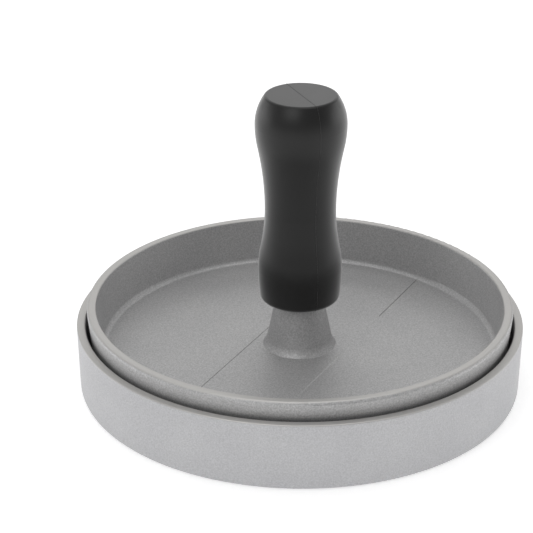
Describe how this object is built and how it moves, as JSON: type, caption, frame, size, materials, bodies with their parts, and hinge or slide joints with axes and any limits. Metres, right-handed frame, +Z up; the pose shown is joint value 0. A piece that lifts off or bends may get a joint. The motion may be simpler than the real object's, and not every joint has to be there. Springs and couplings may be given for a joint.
{
  "type": "burger press",
  "caption": "Round cast-aluminium burger mould with a grooved pan-shaped press that drops into it, lifted and turned by a black waisted grip on a flared boss.",
  "frame": {"origin": "middle of the mould's underside, on the surface the press stands on", "axes": "+Z up along the axis of the mould, press and grip; +X along the grooves in the mould's floor"},
  "size_m": [0.12, 0.12, 0.0823],
  "materials": {
    "mould_aluminium": "fine-grained silver-grey coat over cast aluminium",
    "press_aluminium": "fine-grained silver-grey coat over cast aluminium",
    "stud_steel": "zinc plated",
    "insert_brass": "turned",
    "grip_plastic": "satin black moulding"
  },
  "bodies": {
    "mould": {"mould": "mould_aluminium"},
    "stud": {"stud": "stud_steel"},
    "press": {"press_plate": "press_aluminium", "handle_insert": "insert_brass", "handle": "grip_plastic"}
  },
  "joints": [
    {"name": "press_lift", "type": "slide", "parent": "mould", "child": "stud", "axis": [0, 0, 1], "range_m": [0, 0.06]},
    {"name": "press_turn", "type": "hinge", "parent": "stud", "child": "press", "pos_m": [0, 0, 0.0246], "axis": [0, 0, 1], "continuous": true}
  ]
}
